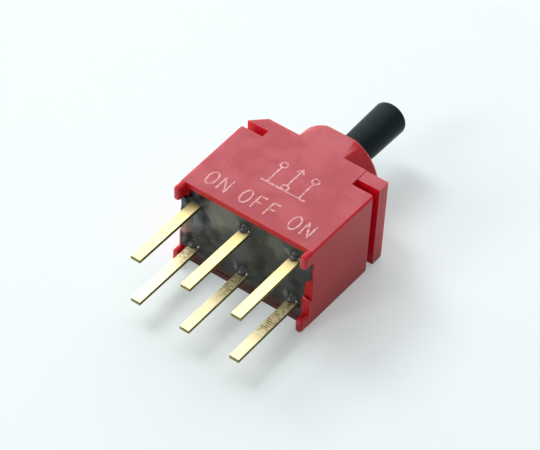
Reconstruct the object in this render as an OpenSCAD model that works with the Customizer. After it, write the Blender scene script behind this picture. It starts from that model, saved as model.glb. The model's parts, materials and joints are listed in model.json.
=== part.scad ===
// Sealed sub-miniature toggle switch, two poles, centre off, with six flat board terminals.
// It lies on its long side: +Y runs up the lever, +X along a row of three terminals, +Z up.
// The origin is the centre of the terminal pattern, in the plane where the standoffs meet the board.
// All sizes are in millimetres.

/* [Housing] */
// Depth of the housing (Z)
body_d = 8.18; // [7.4:0.02:9]
// Height of the housing from its open rim to the flange grooves (Y)
body_h = 7.77; // [7.6:0.01:9]
// Width of the two flange grooves (Y)
groove_w = 0.8; // [0.5:0.05:1.2]
// Depth of the two flange grooves (X)
groove_depth = 2.1; // [1:0.05:2.2]
// Inset of the flange's ends behind the longest part of the housing (X)
flange_inset = 0.03; // [0:0.01:0.2]
// Thickness of the flange (Y)
flange_t = 1.19; // [0.9:0.01:2]
// Size of the cut corner that marks one end of the flange
corner_cut = 1.25; // [0.4:0.05:2]
// Drop of the flange tab below the side face at the other end
tab_step = 0.06; // [0.02:0.01:0.15]
// Thickness of the two long side walls (Z)
side_wall = 0.5; // [0.4:0.02:0.7]
// Thickness of the two end walls at the rim (X)
end_wall = 0.75; // [0.5:0.05:1]
// Room between the outer terminals and the end walls (X)
end_room = 0.36; // [0.34:0.02:0.8]
// Draft of each end wall from the rim to the flange grooves (X)
end_draft = 0.1; // [0:0.02:0.3]
// Width of the ledge that the terminal base stops against
ledge_w = 0.3; // [0.2:0.02:0.4]
// Drop of the end-wall rims between the standoffs (Y)
rim_drop = 0.27; // [0.1:0.01:0.5]
// Length of end-wall rim left undropped beside the lower standoffs (Z)
rim_shoulder = 1.5; // [0.5:0.1:2]

/* [Boss] */
// Diameter of the round boss
boss_d = 7.76; // [7.2:0.02:9]
// Height of the boss above the flange (Y)
boss_h = 2.92; // [2.8:0.02:4]
// Distance across the two flats of the boss (Z)
boss_flats = 7.26; // [6.9:0.02:7.6]
// Radius of the boss's rounded end
boss_edge_r = 0.45; // [0.1:0.05:0.7]
// Width over which the boss runs out flush with the side faces (X)
boss_root_w = 3.8; // [2:0.1:4.6]

/* [Standoffs] */
// Height of the corner standoffs above the rim (Y)
standoff_h = 1; // [0.5:0.05:1.5]
// Width of a standoff (X)
standoff_w = 0.62; // [0.6:0.02:1]
// Length of a standoff (Z)
standoff_len = 1.35; // [1.2:0.05:1.8]
// Radius of a standoff's rounded corners
standoff_r = 0.29; // [0.1:0.01:0.29]

/* [Terminals] */
// Distance from one terminal to the next in a row (X)
pitch = 4.7; // [4.4:0.05:4.8]
// Distance between the two rows (Z)
row_gap = 4.6; // [4.4:0.05:4.8]
// Width of a terminal (X)
pin_w = 0.88; // [0.6:0.02:1.1]
// Thickness of a terminal (Z)
pin_t = 0.34; // [0.25:0.01:0.4]
// Length of a terminal below the board plane (Y)
pin_l = 6.45; // [3:0.05:9]

/* [Lever] */
// Reach of the lever beyond the boss (Y)
lever_reach = 7.27; // [4:0.01:12]
// Diameter of the lever at its tip
lever_tip_d = 3.02; // [2.4:0.02:3.2]
// Diameter of the lever where it leaves the ball
lever_root_d = 2.72; // [2:0.02:2.8]
// Radius of the rounded tip
lever_tip_r = 0.3; // [0.1:0.05:0.8]
// Diameter of the pivot ball
ball_d = 4.3; // [4:0.02:4.4]
// Diameter of the stem below the ball
stem_d = 1.8; // [1.4:0.05:1.9]
// Depth of the pivot below the boss's end
pivot_depth = 2.73; // [2.6:0.01:2.9]
// Angle that the lever tilts to each side, in degrees
throw = 12.5; // [8:0.5:13]
// Diameter of the pivot pin
pivot_pin_d = 0.8; // [0.6:0.05:1]
// Length of the pivot pin (Z)
pivot_pin_l = 5.8; // [5.4:0.05:6]

/* [Bushing] */
// Diameter of the bore that guides the ball
bush_d = 4.6; // [4.5:0.02:4.8]
// Section of the shaft seal
seal_section = 0.7; // [0.5:0.02:0.76]
// Angle at which the seal touches the ball, from the lever's axis, in degrees
seal_angle = 60; // [56:1:64]
// Thickness of the lever retainer (Y)
retainer_t = 0.5; // [0.3:0.05:0.6]
// Height of the retainer's ball seat below the pivot
retainer_drop = 1.6; // [1.4:0.05:1.7]

/* [Base] */
// Depth of the sealing resin below the rim
resin_recess = 0.17; // [0.05:0.01:0.4]
// Thickness of the sealing resin (Y)
resin_t = 0.83; // [0.5:0.01:1.2]
// Height that the resin climbs up each terminal
resin_climb = 0.8; // [0.3:0.05:0.9]
// Thickness of the terminal base (Y)
base_t = 1.2; // [0.9:0.05:1.5]
// Thickness of the base's ribs and fences
rib_t = 0.3; // [0.2:0.02:0.35]
// Height of the middle ribs above the base (Y)
rib_h = 1.9; // [1:0.05:2]
// Height of the outer fences above the base (Y)
fence_h = 1.3; // [0.8:0.05:1.6]

/* [Contacts] */
// Distance of each rocker's inner side from the centre plane (Z)
pole_in = 1.4; // [1.3:0.02:1.5]
// Gap between a rocker's outer side and the fence beside it (Z)
rocker_play = 0.14; // [0.1:0.02:0.3]
// Thickness of a rocker
rocker_t = 0.28; // [0.2:0.02:0.32]
// Tilt of a rocker when it closes a contact, in degrees
rocker_tilt = 5.5; // [4:0.25:6]
// Height of the rocker's pivot above the base (Y)
fulcrum_h = 0.95; // [0.85:0.05:1.1]
// Diameter of the rocker's pivot bead
bead_d = 0.6; // [0.4:0.02:0.66]
// Diameter of a contact button
button_d = 0.7; // [0.5:0.05:0.8]
// Height of a contact button
button_h = 0.1; // [0.06:0.01:0.15]

/* [Driver] */
// Width of the driver that the stem carries (X)
driver_w = 2.5; // [2.3:0.05:2.8]
// Gap between each end of the driver and the ledge beside it (Z)
driver_play = 0.21; // [0.15:0.02:0.4]
// Height of the driver (Y)
driver_h = 2.3; // [2:0.05:2.3]
// Gap between a plunger and each side of its rocker (Z)
plunger_inset = 0.1; // [0.08:0.02:0.2]
// Length of a plunger (Y)
plunger_l = 2.4; // [2:0.05:2.45]
// Travel of a plunger into the driver
plunger_travel = 0.25; // [0.1:0.05:0.3]
// Diameter of the spring wire
wire_d = 0.12; // [0.08:0.01:0.14]
// Number of turns of a plunger spring
spring_turns = 6; // [4:1:8]

/* [Clearances] */
// Gap beside pieces that are fixed together
fit_gap = 0.05; // [0.03:0.01:0.08]
// Gap round pieces that turn or slide in each other
run_gap = 0.03; // [0.02:0.01:0.04]

/* [Hidden] */
$fn = 64;
past = 1; // how far a cut runs past the surface that it opens
sliver = 0.02; // thickness of a slice that a blended form starts or ends on
hair = 0.01; // a gap or overlap just large enough to keep two surfaces apart

// Details that follow from the moulding and are not worth changing
neck_wall = 0.9; // wall behind each flange groove (X)
neck_play = 0.1; // room beside the driver in the neck (Z)
roof_t = 1.1; // roof of the contact chamber beside the neck (Y)
root_spread = 0.35; // rounded run-out beside the flat part of the boss's root (X)
tip_chamfer = 0.1; // chamfer on the stem's end and on both ends of the pivot pin
seat_chamfer = 0.2; // chamfer under the ball in the lever retainer (Y)
plunger_wall = 0.18; // wall of a hollow plunger
plunger_tip_l = 0.9; // solid part of a plunger, from its point (Y)
plunger_show = 1; // how far a plunger stands out of the driver (Y)
driver_floor = 0.4; // depth of driver below the stem's socket (Y)
collar_h = 0.35; // collar round the stem on top of the driver (Y)
collar_t = 0.3; // wall of that collar
cradle_spare = 0.35; // cradle left beyond the plunger's furthest point (X)
wing_edge = 0.05; // strip left beyond a contact button (X)
rocker_flat = 1.8; // flat under the middle of a rocker (X)
head_w = 1.9; // head of a common terminal (X)
head_drop = 0.05; // drop of that head below the rocker's pivot (Y)
contact_overhang = 0.12; // how far a contact button reaches over its terminal's bend (Z)
resin_gap = 0.02; // shrinkage of the resin from the walls
resin_foot_r = 0.85; // where the resin starts to climb a terminal
resin_neck_r = 0.5; // where it stops
spring_sides = 6; // sides of the spring wire
spring_steps = 16; // steps in one turn of a spring
standoff_fn = 24; // sides of the round ends of a standoff
cradle_fn = 180; // fine enough for the plunger to run true

// The housing is sized round its terminals
rim_l = 2 * pitch + pin_w + 2 * (end_room + end_wall);
body_l = rim_l + 2 * end_draft;
flange_l = body_l - 2 * flange_inset;

// Levels up the lever's axis
rim_y = standoff_h;
groove_y = rim_y + body_h;
flange_y = groove_y + groove_w;
top_y = flange_y + flange_t;
boss_y = top_y + boss_h;
pivot_y = boss_y - pivot_depth;
tip_y = boss_y + lever_reach;
resin_y = rim_y + resin_recess;
base_y = resin_y + resin_t;
deck_y = base_y + base_t;
fulcrum_y = deck_y + fulcrum_h;
seat_y = pivot_y - retainer_drop;
plate_y = seat_y - retainer_t;

// The room inside the housing
room_l = rim_l - 2 * end_wall;
room_d = body_d - 2 * side_wall;
inner_l = room_l - 2 * ledge_w;
inner_d = room_d - 2 * ledge_w;
// What the depth of the room leaves for the driver, the rockers and their plungers
driver_l = inner_d - 2 * driver_play;
rocker_w = inner_d / 2 - fit_gap - rib_t - rocker_play - pole_in;
pole_z = pole_in + rocker_w / 2;
plunger_d = rocker_w - 2 * plunger_inset;
rib_z = pole_in - 2 * fit_gap;
neck_l = body_l - 2 * groove_depth - 2 * neck_wall;
neck_d = driver_l + 2 * neck_play;
ceiling_y = groove_y - roof_t;

// The ball, its seal and the hole above it
ball_r = ball_d / 2;
root_r = lever_root_d / 2;
tip_r = lever_tip_d / 2;
stem_r = stem_d / 2;
seal_ring_r = (ball_r + run_gap + seal_section / 2) * sin(seal_angle);
seal_y = pivot_y + (ball_r + run_gap + seal_section / 2) * cos(seal_angle);
gland_r = seal_ring_r + seal_section / 2 + run_gap;
gland_y = seal_y - seal_section / 2 - run_gap;
lip_y = seal_y + seal_section / 2 + run_gap;
// Half the room that the tilted lever needs at a height above the pivot
function swing_r(h) =
    h * tan(throw) + (root_r + (tip_r - root_r) * h / (tip_y - pivot_y)) / cos(throw);
lip_r = swing_r(lip_y - pivot_y) + 3 * fit_gap;
mouth_r = swing_r(pivot_depth) + 5 * fit_gap;
retainer_hole_r = sqrt(pow(ball_r, 2) - pow(retainer_drop, 2)) + 2 * run_gap;
slot_r = pivot_pin_d / 2 + run_gap;
slot_reach = pivot_pin_l / 2 + fit_gap;

// Where a plunger's round tip presses the rocker, and the cradle that it rides in
strip_y = bead_d / 2 + rocker_t / 3;
point_r = plunger_d / 2;
point_y = fulcrum_y + strip_y + run_gap + point_r;
arm = pivot_y - point_y;
end_x = arm * sin(throw);
end_y = pivot_y - arm * cos(throw) - fulcrum_y;
cradle_x = end_x * cos(rocker_tilt) - end_y * sin(rocker_tilt);
cradle_rise = end_x * sin(rocker_tilt) + end_y * cos(rocker_tilt) - (point_y - fulcrum_y);
cradle_path_r = (pow(cradle_x, 2) + pow(cradle_rise, 2)) / (2 * cradle_rise);
cradle_r = cradle_path_r + point_r + run_gap;
cradle_y = point_y + cradle_path_r;
cradle_half = (cradle_x + cradle_spare) * cradle_r / cradle_path_r;
shoulder_y = cradle_y - sqrt(pow(cradle_r, 2) - pow(cradle_half, 2));

// The closed contact fixes how high the open one stands
pad_y = deck_y + pin_t;
closed_y = pad_y + button_h + run_gap - fulcrum_y;
open_y = fulcrum_y + (closed_y + (pitch + button_d / 2) * sin(rocker_tilt)) / cos(rocker_tilt);
wing_y = open_y + button_h;
wing_x = pitch + button_d / 2 + wing_edge;
row_z = row_gap / 2;
bend_z = row_z - pin_t / 2;
contact_z = bend_z - button_d / 2 + contact_overhang;
pad_len = bend_z - rib_z - run_gap;
notch_r = bead_d / 2 + run_gap + hair;
head_y = fulcrum_y - head_drop;

// The driver and what slides in it
plunger_y = point_y - point_r;
driver_y = plunger_y + plunger_show;
driver_top_y = driver_y + driver_h;
well_y = plunger_y + plunger_l + plunger_travel + 4 * fit_gap;
stem_y = driver_y + driver_floor;
cup_r = point_r - plunger_wall;
cup_y = plunger_y + plunger_tip_l;
coil_r = cup_r - wire_d / 2 - fit_gap;
coil_y0 = cup_y + wire_d / 2 + 2 * hair;
coil_y1 = well_y - wire_d / 2 - 2 * hair;

red = "#b3363f";
black = "#15191a";
gold = "#d9b95c";
steel = "#b9bcc0";
nylon = "#e8e2d0";
resin_grey = "#3c3f3e";

// An outline in X and Z raised from y0 to y1
module raise(y0, y1) {
    translate([0, y1, 0]) rotate([90, 0, 0]) linear_extrude(y1 - y0) children();
}

// An outline in Y and Z drawn out along X, centred on the YZ plane
module across(l) {
    rotate([90, 0, 90]) linear_extrude(l, center = true) children();
}

// A profile of radius and height turned about the lever's axis
module turn_up(y0 = 0) {
    translate([0, y0, 0]) rotate([-90, 0, 0]) rotate_extrude() children();
}

// A block centred on the lever's axis in X and Z
module slab(l, d, y0, y1) {
    translate([-l / 2, y0, -d / 2]) cube([l, y1 - y0, d]);
}

// A rod of radius r along Z, centred on the XY plane
module rod_z(r, l) {
    cylinder(r = r, h = l, center = true);
}

// A rectangle with round corners, centred on the origin
module soft_rect(l, d, r) {
    square([l - 2 * r, d], center = true);
    square([l, d - 2 * r], center = true);
    for (x = [-1, 1], y = [-1, 1])
        translate([x * (l / 2 - r), y * (d / 2 - r)]) circle(r);
}

// Both poles: the upper one, and the lower one as its mirror image
module pole(upper) {
    if (upper) children();
    else mirror([0, 0, 1]) children();
}

// ---------- Housing ----------

// Outline of the housing and flange seen along Z, without the boss
module housing_outline() {
    groove_x = body_l / 2 - groove_depth;
    // a cut larger than the flange's thickness runs out on its underside
    cut_end = max(0, corner_cut - flange_t);
    polygon([
        [-rim_l / 2, rim_y], [rim_l / 2, rim_y], [body_l / 2, groove_y], [groove_x, groove_y],
        [groove_x, flange_y], [flange_l / 2, flange_y], [flange_l / 2, top_y],
        [corner_cut - flange_l / 2, top_y],
        [cut_end - flange_l / 2, top_y - corner_cut + cut_end],
        if (corner_cut < flange_t) [-flange_l / 2, flange_y],
        [-groove_x, flange_y], [-groove_x, groove_y], [-body_l / 2, groove_y]
    ]);
}

// Section of the boss: a circle cut by two flats
module boss_section(d, flats) {
    intersection() {
        circle(d = d);
        square([d, flats], center = true);
    }
}

// Side profile of the boss along its flats, with both far corners rounded
module flats_profile() {
    r = boss_edge_r;
    translate([flange_y, -boss_flats / 2]) square([boss_y - r - flange_y, boss_flats]);
    translate([flange_y, r - boss_flats / 2]) square([boss_y - flange_y, boss_flats - 2 * r]);
    for (z = [-1, 1]) translate([boss_y - r, z * (boss_flats / 2 - r)]) circle(r);
}

// The boss with its rounded end, which the flats follow
module boss() {
    intersection() {
        turn_up(flange_y) {
            square([boss_d / 2 - boss_edge_r, boss_y - flange_y]);
            square([boss_d / 2, boss_y - boss_edge_r - flange_y]);
            translate([boss_d / 2 - boss_edge_r, boss_y - boss_edge_r - flange_y]) circle(boss_edge_r);
        }
        across(2 * boss_d) flats_profile();
    }
    boss_root();
}

// The boss runs out flush with the two long side faces at the flange, and never widens above it
module boss_root() {
    root_d = sqrt(pow(boss_root_w, 2) + pow(body_d, 2));
    hull() {
        raise(flange_y, top_y) {
            boss_section(boss_d - sliver, boss_flats, $fn = 48);
            intersection() {
                boss_section(root_d, body_d, $fn = 48);
                square([boss_root_w + 2 * root_spread, body_d], center = true);
            }
        }
        raise(boss_y - boss_edge_r - sliver, boss_y - boss_edge_r)
            boss_section(boss_d - sliver, boss_flats - sliver, $fn = 48);
    }
}

// One standoff, a flat post with a round tip, at the +X +Z corner of the rim
module standoff() {
    depth = standoff_h + end_wall;
    hull() for (x = [standoff_r, standoff_w - standoff_r], z = [standoff_r, standoff_len - standoff_r]) {
        translate([x, standoff_r, z]) sphere(standoff_r, $fn = standoff_fn);
        translate([x, 0, z]) raise(standoff_r, depth) circle(standoff_r, $fn = standoff_fn);
    }
}

// The four standoffs, flush with the corners of the rim
module standoffs() {
    for (x = [-1, 1], z = [-1, 1])
        mirror([x < 0 ? 1 : 0, 0, 0]) mirror([0, 0, z < 0 ? 1 : 0])
            translate([rim_l / 2 - standoff_w, 0, body_d / 2 - standoff_len]) standoff();
}

// The bore, seal gland, lever hole and pin slots in the flange and boss
module bushing_cuts() {
    turn_up() {
        square([bush_d / 2, lip_y]);
        translate([0, gland_y]) square([gland_r, lip_y - gland_y]);
        polygon([[0, lip_y - hair], [lip_r, lip_y - hair], [mouth_r, boss_y], [mouth_r, boss_y + past],
            [0, boss_y + past]]);
    }
    translate([0, pivot_y, 0]) rod_z(slot_r, 2 * slot_reach);
    slab(2 * slot_r, 2 * slot_reach, ceiling_y, pivot_y);
}

module housing() {
    color(red) difference() {
        union() {
            linear_extrude(body_d, center = true) housing_outline();
            boss();
            standoffs();
        }
        // room for the terminal base, then the contact chamber behind its ledge
        slab(room_l, room_d, -past, deck_y + fit_gap);
        slab(inner_l, inner_d, rim_y, ceiling_y);
        // the neck between the grooves holds the retainer
        slab(neck_l, neck_d, rim_y, seat_y + fit_gap);
        bushing_cuts();
        // both end walls are lower between the standoffs, down to below the middle
        translate([-body_l, -past, standoff_len + rim_shoulder - body_d / 2])
            cube([2 * body_l, rim_y + rim_drop + past, body_d - 2 * standoff_len - rim_shoulder]);
        // the whole tab beyond the groove stands a little lower at the unmarked end
        for (z = [-1, 1])
            translate([body_l / 2 - groove_depth, flange_y - groove_w / 2, z * body_d / 2 - tab_step])
                cube([groove_depth + past, flange_t + groove_w, 2 * tab_step]);
    }
}

// ---------- Lever ----------

// The lever: shank, pivot ball and stem, turned as one profile
module lever() {
    ball_top = sqrt(pow(ball_r, 2) - pow(root_r, 2));
    color(black) difference() {
        union() {
            turn_up() {
                polygon([[0, pivot_y], [root_r, pivot_y + ball_top], [tip_r, tip_y - lever_tip_r],
                    [tip_r - lever_tip_r, tip_y - lever_tip_r], [tip_r - lever_tip_r, tip_y], [0, tip_y]]);
                translate([tip_r - lever_tip_r, tip_y - lever_tip_r]) intersection() {
                    circle(lever_tip_r);
                    square(lever_tip_r);
                }
                polygon([[0, stem_y + run_gap], [stem_r - tip_chamfer, stem_y + run_gap],
                    [stem_r, stem_y + run_gap + tip_chamfer], [stem_r, pivot_y], [0, pivot_y]]);
            }
            translate([0, pivot_y, 0]) sphere(ball_r);
        }
        translate([0, pivot_y, 0]) rod_z(pivot_pin_d / 2 + run_gap / 3, 2 * ball_d);
    }
}

// The cross pin that the lever turns on, with chamfered ends
module pivot_pin() {
    color(steel) translate([0, pivot_y, 0]) {
        rod_z(pivot_pin_d / 2, pivot_pin_l - 2 * tip_chamfer);
        for (z = [-1, 1]) mirror([0, 0, z < 0 ? 1 : 0])
            translate([0, 0, pivot_pin_l / 2 - tip_chamfer])
                cylinder(r1 = pivot_pin_d / 2, r2 = pivot_pin_d / 2 - tip_chamfer, h = tip_chamfer);
    }
}

// The rubber ring that the ball turns against
module shaft_seal() {
    color(black) turn_up(seal_y) translate([seal_ring_r, 0]) circle(d = seal_section);
}

// The plate under the ball, with two fingers that close the pin slots
module lever_retainer() {
    finger_l = slot_reach - bush_d / 2 - 2 * fit_gap;
    finger_z = bush_d / 2 + fit_gap + finger_l / 2;
    color(nylon) difference() {
        union() {
            slab(neck_l - 2 * fit_gap, neck_d - 2 * fit_gap, plate_y, seat_y);
            for (z = [-1, 1]) translate([0, 0, z * finger_z])
                slab(2 * (slot_r - run_gap), finger_l, plate_y, pivot_y - pivot_pin_d / 4);
        }
        turn_up() polygon([[0, plate_y - past], [retainer_hole_r, plate_y - past],
            [retainer_hole_r, seat_y - seat_chamfer], [retainer_hole_r + seat_chamfer, seat_y],
            [retainer_hole_r + seat_chamfer, seat_y + past], [0, seat_y + past]]);
        translate([0, pivot_y, 0]) rod_z(slot_r, 2 * slot_reach);
    }
}

// The moulding on the stem that carries both spring plungers
module driver() {
    end_r = driver_w / 2;
    color(nylon) difference() {
        union() {
            raise(driver_y, driver_top_y) {
                square([driver_w, driver_l - 2 * end_r], center = true);
                for (z = [-1, 1]) translate([0, z * (driver_l / 2 - end_r)]) circle(end_r);
            }
            raise(driver_top_y, driver_top_y + collar_h) circle(stem_r + collar_t);
        }
        raise(stem_y, tip_y) circle(stem_r + run_gap / 3);
        for (z = [-1, 1])
            translate([0, 0, z * pole_z]) raise(driver_y - past, well_y) circle(point_r + run_gap);
    }
}

// ---------- Plungers and springs ----------

// A hollow plunger with a round point, open towards its spring
module plunger(upper) {
    top = plunger_y + plunger_l;
    color(gold) pole(upper) translate([0, 0, pole_z]) difference() {
        union() {
            raise(point_y, top) circle(point_r);
            translate([0, point_y, 0]) sphere(point_r);
        }
        raise(cup_y, top + past) circle(cup_r);
    }
}

// Centre of the spring wire at a share of its length: flat end turns and even working turns
function coil_at(t) =
    let (turn = (spring_turns + 2) * t,
        first = wire_d * min(1, turn),
        working = max(0, min(1, (turn - 1) / spring_turns)) * (coil_y1 - coil_y0 - 2 * wire_d),
        last = wire_d * max(0, turn - spring_turns - 1))
    [coil_r * cos(360 * turn), coil_y0 + first + working + last, coil_r * sin(360 * turn)];

// A round wire swept along the coil, closed at both ends
module plunger_spring(upper) {
    steps = spring_steps * (spring_turns + 2);
    sides = spring_sides;
    r = wire_d / 2;
    points = [for (i = [0:steps]) let (c = coil_at(i / steps), q = 360 * i / spring_steps)
        for (j = [0:sides - 1]) let (b = 360 * j / sides)
            [c[0] + r * cos(b) * cos(q), c[1] + r * sin(b), c[2] + r * cos(b) * sin(q)]];
    walls = [for (i = [0:steps - 1], j = [0:sides - 1]) let (k = (j + 1) % sides)
        [i * sides + j, i * sides + k, (i + 1) * sides + k, (i + 1) * sides + j]];
    caps = [[for (j = [sides - 1:-1:0]) j], [for (j = [0:sides - 1]) steps * sides + j]];
    color(steel) pole(upper) translate([0, 0, pole_z])
        polyhedron(points = points, faces = concat(caps, walls), convexity = 10);
}

// ---------- Contacts ----------

// A rocker: a gull-wing strip with a cradle for the plunger, a pivot bead and two buttons
module rocker(upper) {
    low = fulcrum_y + bead_d / 5;
    flat_x = pitch - button_d / 2 - 2 * wing_edge;
    color(gold) pole(upper) {
        translate([0, 0, pole_z]) difference() {
            linear_extrude(rocker_w, center = true) polygon([
                [-cradle_half, shoulder_y], [-flat_x, wing_y + rocker_t], [-wing_x, wing_y + rocker_t],
                [-wing_x, wing_y], [-flat_x, wing_y], [-cradle_half - wing_edge, shoulder_y - rocker_t],
                [-rocker_flat / 2, low], [rocker_flat / 2, low],
                [cradle_half + wing_edge, shoulder_y - rocker_t], [flat_x, wing_y],
                [wing_x, wing_y], [wing_x, wing_y + rocker_t], [flat_x, wing_y + rocker_t],
                [cradle_half, shoulder_y]
            ]);
            translate([0, cradle_y, 0])
                cylinder(r = cradle_r, h = 2 * rocker_w, center = true, $fn = cradle_fn);
        }
        translate([0, fulcrum_y, pole_z]) rod_z(bead_d / 2, rocker_w);
        for (x = [-1, 1]) translate([x * pitch, 0, contact_z])
            raise(open_y, wing_y + rocker_t / 2) circle(d = button_d);
    }
}

// The straight part of a terminal, from its tip to y1
module pin_strip(y1) {
    translate([-pin_w / 2, y1, row_z - pin_t / 2]) mirror([0, 1, 0]) cube([pin_w, y1 + pin_l, pin_t]);
}

// An outer terminal: a strip bent over into a contact pad with a button; side is -1 or 1
module outer_terminal(side, upper) {
    color(gold) pole(upper) translate([side * pitch, 0, 0]) {
        pin_strip(deck_y);
        intersection() {
            translate([0, deck_y, bend_z]) rotate([0, 90, 0]) cylinder(r = pin_t, h = pin_w, center = true);
            translate([-pin_w / 2, deck_y, bend_z]) cube([pin_w, pin_t, pin_t]);
        }
        translate([-pin_w / 2, deck_y, bend_z - pad_len]) cube([pin_w, pin_t, pad_len]);
        translate([0, 0, contact_z]) raise(deck_y + pin_t / 2, pad_y + button_h) circle(d = button_d);
    }
}

// A common terminal: its wide head has a round notch for the rocker's bead
module common_terminal(upper) {
    color(gold) pole(upper) {
        pin_strip(deck_y);
        difference() {
            translate([-head_w / 2, deck_y, row_z - pin_t / 2]) cube([head_w, head_y - deck_y, pin_t]);
            translate([0, fulcrum_y, row_z]) rod_z(notch_r, 2 * pin_t);
        }
    }
}

// ---------- Base and seal ----------

// Slots through a layer for the six terminals
module terminal_slots(y0, y1, gap) {
    for (x = [-1:1], z = [-1, 1])
        translate([x * pitch, 0, z * row_z]) slab(pin_w + 2 * gap, pin_t + 2 * gap, y0, y1);
}

// The insulating base: a plate with ribs and fences that guide the rockers
module terminal_base() {
    rib_l = 2 * wing_x;
    color(black) difference() {
        union() {
            slab(room_l - 2 * fit_gap, room_d - 2 * fit_gap, base_y, deck_y);
            for (z = [-1, 1]) {
                translate([0, 0, z * (rib_z - rib_t / 2)])
                    slab(rib_l, rib_t, deck_y, deck_y + rib_h);
                translate([0, 0, z * (inner_d / 2 - fit_gap - rib_t / 2)])
                    slab(rib_l, rib_t, deck_y, deck_y + fence_h);
            }
        }
        terminal_slots(base_y - past, deck_y + past, run_gap);
    }
}

// The potting resin, with a cone that climbs each terminal
module resin_seal() {
    color(resin_grey) difference() {
        union() {
            slab(room_l - 2 * resin_gap, room_d - 2 * resin_gap, resin_y, base_y);
            for (x = [-1:1], z = [-1, 1])
                translate([x * pitch, resin_y, z * row_z]) rotate([90, 0, 0])
                    cylinder(r1 = resin_foot_r, r2 = resin_neck_r, h = resin_climb);
        }
        terminal_slots(resin_y - resin_climb - past, base_y + past, hair);
    }
}

housing();
lever();
pivot_pin();
shaft_seal();
lever_retainer();
driver();
plunger_spring(true);  // plunger_spring_upper
plunger_spring(false);  // plunger_spring_lower
plunger(true);  // plunger_upper
plunger(false);  // plunger_lower
rocker(true);  // rocker_upper
rocker(false);  // rocker_lower
terminal_base();
resin_seal();
outer_terminal(-1, true);  // terminal_upper_left
common_terminal(true);  // terminal_upper_common
outer_terminal(1, true);  // terminal_upper_right
outer_terminal(-1, false);  // terminal_lower_left
common_terminal(false);  // terminal_lower_common
outer_terminal(1, false);  // terminal_lower_right
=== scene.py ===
# %% [markdown]
# # Dressing a small sealed toggle switch
# The switch lies on its long side. +Y runs up its lever, +X along a row of three terminals, +Z up.
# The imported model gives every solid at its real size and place, and it moves as the switch does.
# The looks are made round it: edges that catch the light, potting resin, engraved marks and finishes.

# %% Load the frame
import json
import math
import random

import bpy
import numpy as np
from mathutils import Matrix, Vector


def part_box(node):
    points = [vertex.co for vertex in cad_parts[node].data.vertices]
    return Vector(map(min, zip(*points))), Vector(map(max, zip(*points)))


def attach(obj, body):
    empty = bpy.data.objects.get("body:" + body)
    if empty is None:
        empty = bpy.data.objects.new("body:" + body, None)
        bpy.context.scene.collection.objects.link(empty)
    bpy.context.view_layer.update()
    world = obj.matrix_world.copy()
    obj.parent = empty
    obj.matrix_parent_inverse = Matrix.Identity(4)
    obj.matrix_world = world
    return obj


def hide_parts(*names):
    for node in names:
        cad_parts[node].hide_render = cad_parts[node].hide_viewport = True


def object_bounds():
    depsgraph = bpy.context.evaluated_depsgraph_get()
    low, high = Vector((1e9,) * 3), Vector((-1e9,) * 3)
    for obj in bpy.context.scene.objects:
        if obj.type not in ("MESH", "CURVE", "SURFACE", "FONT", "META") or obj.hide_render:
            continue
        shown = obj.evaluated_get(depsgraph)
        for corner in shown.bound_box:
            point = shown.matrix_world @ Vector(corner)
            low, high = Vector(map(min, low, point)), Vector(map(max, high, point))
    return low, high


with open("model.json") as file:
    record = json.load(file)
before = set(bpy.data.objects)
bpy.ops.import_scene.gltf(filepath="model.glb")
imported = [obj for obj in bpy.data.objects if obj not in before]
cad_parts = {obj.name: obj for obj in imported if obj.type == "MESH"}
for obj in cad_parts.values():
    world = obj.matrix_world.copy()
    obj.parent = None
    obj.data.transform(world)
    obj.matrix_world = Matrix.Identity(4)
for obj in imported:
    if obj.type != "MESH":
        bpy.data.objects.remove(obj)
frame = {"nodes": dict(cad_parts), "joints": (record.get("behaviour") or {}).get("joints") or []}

MM = 0.001
cad_box = [list(corner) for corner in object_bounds()]
print("solids:", len(frame["nodes"]), "box in mm:", [[round(v / MM, 2) for v in c] for c in cad_box])

# %% [markdown]
# ## Working by hand, in code
# An operator acts on all that is selected, and loading leaves everything selected.
# So one helper selects a single piece, and another adds a shader node with its settings and links.
# Colours are picked as they look on a screen, so one function turns such a colour linear.

# %% Helpers
def only(piece):
    """Select one piece and make it active."""
    bpy.ops.object.select_all(action="DESELECT")
    piece.select_set(True)
    bpy.context.view_layer.objects.active = piece
    return piece


def linear(code):
    """A colour written as #RRGGBB, as the renderer counts light, and opaque."""
    parts = [int(code[i:i + 2], 16) / 255 for i in (1, 3, 5)]
    return [p / 12.92 if p <= 0.04045 else ((p + 0.055) / 1.055) ** 2.4 for p in parts] + [1.0]


def add(tree, kind, inputs=None, **settings):
    """Add a shader node. An input is a number, a #RRGGBB colour, a socket, or a whole node,
    of which the first output in use is taken. Mix has its two colours at inputs 6 and 7."""
    node = tree.nodes.new("ShaderNode" + kind)
    for name, value in settings.items():
        setattr(node, name, value)
    for name, value in (inputs or {}).items():
        if isinstance(value, bpy.types.Node):
            value = next(socket for socket in value.outputs if socket.enabled)
        if isinstance(value, bpy.types.NodeSocket):
            tree.links.new(value, node.inputs[name])
        else:
            node.inputs[name].default_value = linear(value) if isinstance(value, str) else value
    return node


def blank(name):
    """An empty material: itself, its node tree and the place of each point in metres."""
    material = bpy.data.materials.new(name)
    material.use_nodes = True
    material.node_tree.nodes.clear()
    return material, material.node_tree, add(material.node_tree, "TexCoord").outputs["Object"]


def per(size):
    """The scale of a pattern whose features are this many millimetres apart."""
    return 1 / (size * MM)


print("a deep red in linear light:", [round(v, 3) for v in linear("#BA0C1C")])

# %% [markdown]
# ## Red moulded housing
# The housing is glass-filled nylon. Fresh from the mould it is a deep, glossy, saturated red.
# The flat outer faces have been rubbed on benches and fingers. Their skin is dull, and torn fibres
# lay a pale veil over the red. Grooves and rounded edges keep the fresh colour.
# Wear could be painted on by hand, but it follows the shape. So the material asks each point which
# way it faces and how far out it lies, and every answer is a mask that runs from 0 to 1.

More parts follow.
